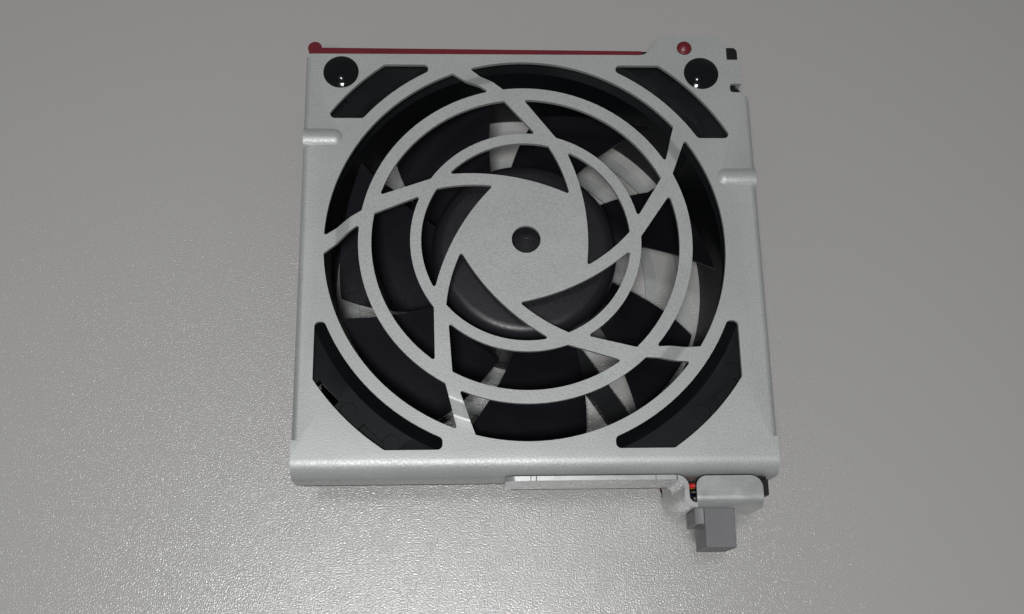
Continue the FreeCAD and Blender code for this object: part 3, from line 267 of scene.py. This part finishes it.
def softened(node, width):
    """A copy of a solid with its sharp edges rounded, shown in its place."""
    mesh = nodes[node].data.copy()
    work = bmesh.new()
    work.from_mesh(mesh)
    bmesh.ops.remove_doubles(work, verts=work.verts, dist=2e-6)
    bmesh.ops.dissolve_limit(work, angle_limit=math.radians(0.6), verts=work.verts,
                             edges=work.edges)
    work.to_mesh(mesh)
    work.free()
    piece = new_piece(f"{node}_shown", mesh, body_of[node], slot_of[node])
    bevel = piece.modifiers.new("rounding", "BEVEL")
    bevel.width = width * MM
    bevel.segments = 2
    bevel.limit_method = "ANGLE"
    bevel.angle_limit = math.radians(SHARP_ANGLE)
    bevel.use_clamp_overlap = True
    bevel.harden_normals = True
    smoothed(mesh, SHARP_ANGLE)
    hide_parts(node)


for node, width in (("front_guard", 0.28), ("lever", 0.25), ("connector_bracket", 0.3),
                    ("connector_housing", 0.25), ("connector_carrier", 0.25),
                    ("fan_frame", 0.3), ("side_rail", 0.3), ("impeller", 0.2)):
    softened(node, width)


# ---------------------------------------------------------------- small pieces

def top_of(node):
    """Highest point of a node, in millimetres."""
    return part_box(node)[1][2] / MM


def made(name, body, slot, build, smooth_below=40, look=None):
    """New closed piece from a function that fills a bmesh in millimetres."""
    work = bmesh.new()
    build(work)
    bmesh.ops.recalc_face_normals(work, faces=work.faces)
    bmesh.ops.scale(work, vec=(MM, MM, MM), verts=work.verts)
    mesh = bpy.data.meshes.new(name)
    work.to_mesh(mesh)
    work.free()
    smoothed(mesh, smooth_below)
    new_piece(name, mesh, body, slot, look)


def rings(work, levels, centre, shape, count=40):
    """Closed stack of rings; shape(turn, radius, height) gives each point's offset."""
    loops = []
    for radius, height in levels:
        turns = [2 * math.pi * step / count for step in range(count)]
        loops.append([work.verts.new(Vector(centre) + Vector(shape(turn, radius, height)))
                      for turn in turns])
    for lower, upper in zip(loops, loops[1:]):
        for step in range(count):
            after = (step + 1) % count
            work.faces.new((lower[step], lower[after], upper[after], upper[step]))
    work.faces.new(loops[0][::-1])
    work.faces.new(loops[-1])


def crown_point(turn, radius, height):
    """Point of the pin's crown: egg-shaped, domed above its straight foot, one flank flat."""
    x = radius * math.cos(turn) * (1.0 - 0.10 * math.sin(turn))
    y = radius * math.sin(turn)
    straight_foot = PIN_CROWN[1][1]
    if height <= straight_foot:
        return x, y, height
    dome = height - 0.10 * (x * x + y * y) + 0.10 * y
    return x, y, dome - 0.6 * max(0.0, x - 1.0)


def pivot_tip(work):
    """Moulded end of the lever's pin, on the axis of the lever's joint."""
    joint = next(item for item in frame["record"]["behaviour"]["joints"]
                 if item["child"] == "lever")
    rings(work, PIN_CROWN, (joint["pos_m"][0] / MM, joint["pos_m"][1] / MM, 0.0), crown_point)


def bar(work, low, high):
    """Straight block between two corners, in millimetres."""
    corners = bmesh.ops.create_cube(work, size=1.0)["verts"]
    span = [upper - lower for lower, upper in zip(low, high)]
    middle = [(upper + lower) / 2 for lower, upper in zip(low, high)]
    bmesh.ops.scale(work, vec=span, verts=corners)
    bmesh.ops.translate(work, vec=middle, verts=corners)


def press_marks(work):
    """Fine dark nicks that the press tool left across the bracket's bright front edge."""
    for x, wide in PRESS_MARKS:
        bar(work, (x - wide / 2, SHELF_FACE - PROUD, SHELF_TOP - 0.2),
            (x + wide / 2, FOOT_FACE - PROUD, SHELF_TOP + 0.02))


def painted_shade_edges(work):
    """Painted shade: a dark band standing for the shadow line along the lower edges of the
    guard's foot and the shelf.
    """
    foot_low = top_of("front_guard") - GRILLE_RISE - FOOT_DROP
    bar(work, (FOOT_SPAN[0], FOOT_FACE - PROUD, foot_low + 0.02),
        (FOOT_SPAN[1], FOOT_FACE + 0.7, foot_low + SHADE_BAND_HIGH))
    shelf_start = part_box("connector_bracket")[0][0] / MM + 1.5
    bar(work, (shelf_start, SHELF_FACE - 0.03, SHELF_LOW + 0.05),
        (SHELF_END, SHELF_FACE + 0.6, SHELF_LOW + SHADE_BAND_HIGH))


made("pivot_tip", "lever", "lever_plastic", pivot_tip, 25)
made("press_marks", "housing", "bright_zinc", press_marks, look="nick")
# dark strips of painted shade under the lower edges of the foot and the shelf
made("painted_shade_edges", "housing", "galvanised", painted_shade_edges, look="painted_edge_shade")


# ---------------------------------------------------------------- stage

def box_light(name, place, aim, width, height, power):
    """Flat lamp at a place, turned to face a point; metres and watts."""
    data = bpy.data.lights.new(name, "AREA")
    data.shape = "RECTANGLE"
    data.size = width
    data.size_y = height
    data.energy = power
    light = bpy.data.objects.new(name, data)
    bpy.context.scene.collection.objects.link(light)
    light.location = place
    light.rotation_euler = (Vector(aim) - Vector(place)).to_track_quat("-Z", "Y").to_euler()


def make_table():
    """Plain pale table top with a fine dimpled grain."""
    mesh = bpy.data.meshes.new("table")
    work = bmesh.new()
    bmesh.ops.create_grid(work, x_segments=1, y_segments=1, size=3.0)
    work.to_mesh(mesh)
    work.free()
    table = bpy.data.objects.new("table", mesh)
    bpy.context.scene.collection.objects.link(table)
    look = Look("table_top", (0.375, 0.370, 0.362), 0.26, specular=0.7)
    grain = look.noise(2300, 1, 0.4)
    look.roughness(look.spread(grain, 0.18, 0.28))
    look.bump(grain, 0.6, COARSE_GRAIN)
    dress(table, look.material)


def make_lamps():
    """Dim even room, a near lamp above the connector's side and a small one high above."""
    world = bpy.data.worlds.new("room")
    bpy.context.scene.world = world
    world.use_nodes = True
    background = world.node_tree.nodes["Background"]
    background.inputs["Color"].default_value = (1.0, 0.99, 0.97, 1)
    background.inputs["Strength"].default_value = 0.14
    box_light("near_lamp", (-0.050, -0.20, 0.56), (-0.04, -0.05, 0), 0.08, 0.06, 2.15)
    box_light("ceiling_lamp", (-0.150, -0.050, 1.55), (0, 0, 0), 0.12, 0.10, 2.6)


def make_camera():
    """Camera close above the module, looking down with a slight tilt from the connector side."""
    data = bpy.data.cameras.new("camera")
    data.lens = 40.05
    data.sensor_width = 36
    data.clip_start = 0.01
    camera = bpy.data.objects.new("camera", data)
    bpy.context.scene.collection.objects.link(camera)
    camera.location = (-0.01694, -0.10923, 0.33864)
    camera.rotation_euler = (math.radians(16.936), math.radians(-2.1858), math.radians(-0.9245))
    bpy.context.scene.camera = camera


make_table()
make_lamps()
make_camera()
bpy.context.scene.view_settings.view_transform = "Standard"
